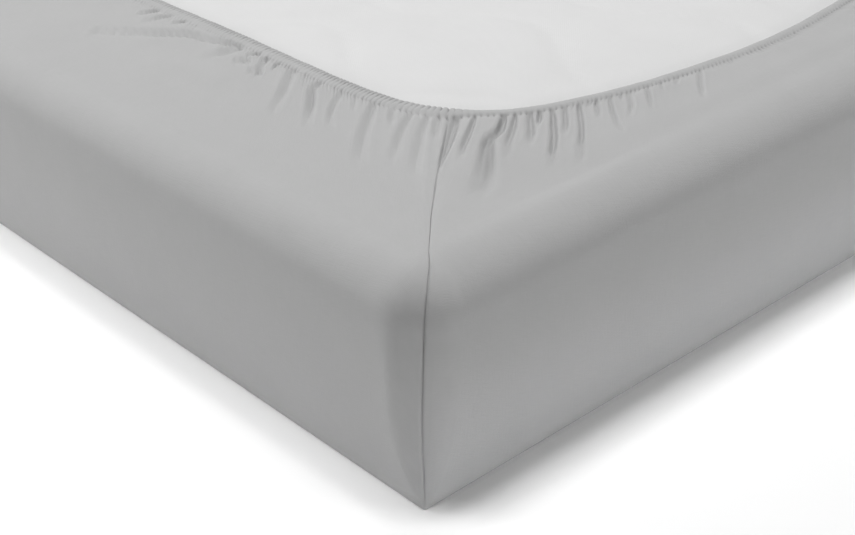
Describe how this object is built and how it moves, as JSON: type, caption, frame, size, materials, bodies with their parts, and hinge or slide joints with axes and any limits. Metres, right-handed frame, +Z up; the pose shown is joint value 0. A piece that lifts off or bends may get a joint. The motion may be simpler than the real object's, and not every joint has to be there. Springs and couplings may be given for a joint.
{
  "type": "fitted sheet on mattress",
  "caption": "Plain fitted sheet pulled over an upturned single mattress, its gathered hem lying on the upper side round the open middle.",
  "frame": {"origin": "on the floor under the middle of the covered mattress", "axes": "+X along the mattress's length, +Y across it, +Z up; the pictured corner is at +X -Y"},
  "size_m": [2, 0.9, 0.1738],
  "materials": {
    "grey_cloth": "fine plain weave, matt",
    "white_cover": "quilted knit cover, matt"
  },
  "bodies": {
    "root": {"fitted_sheet": "grey_cloth", "mattress": "white_cover"}
  },
  "joints": []
}
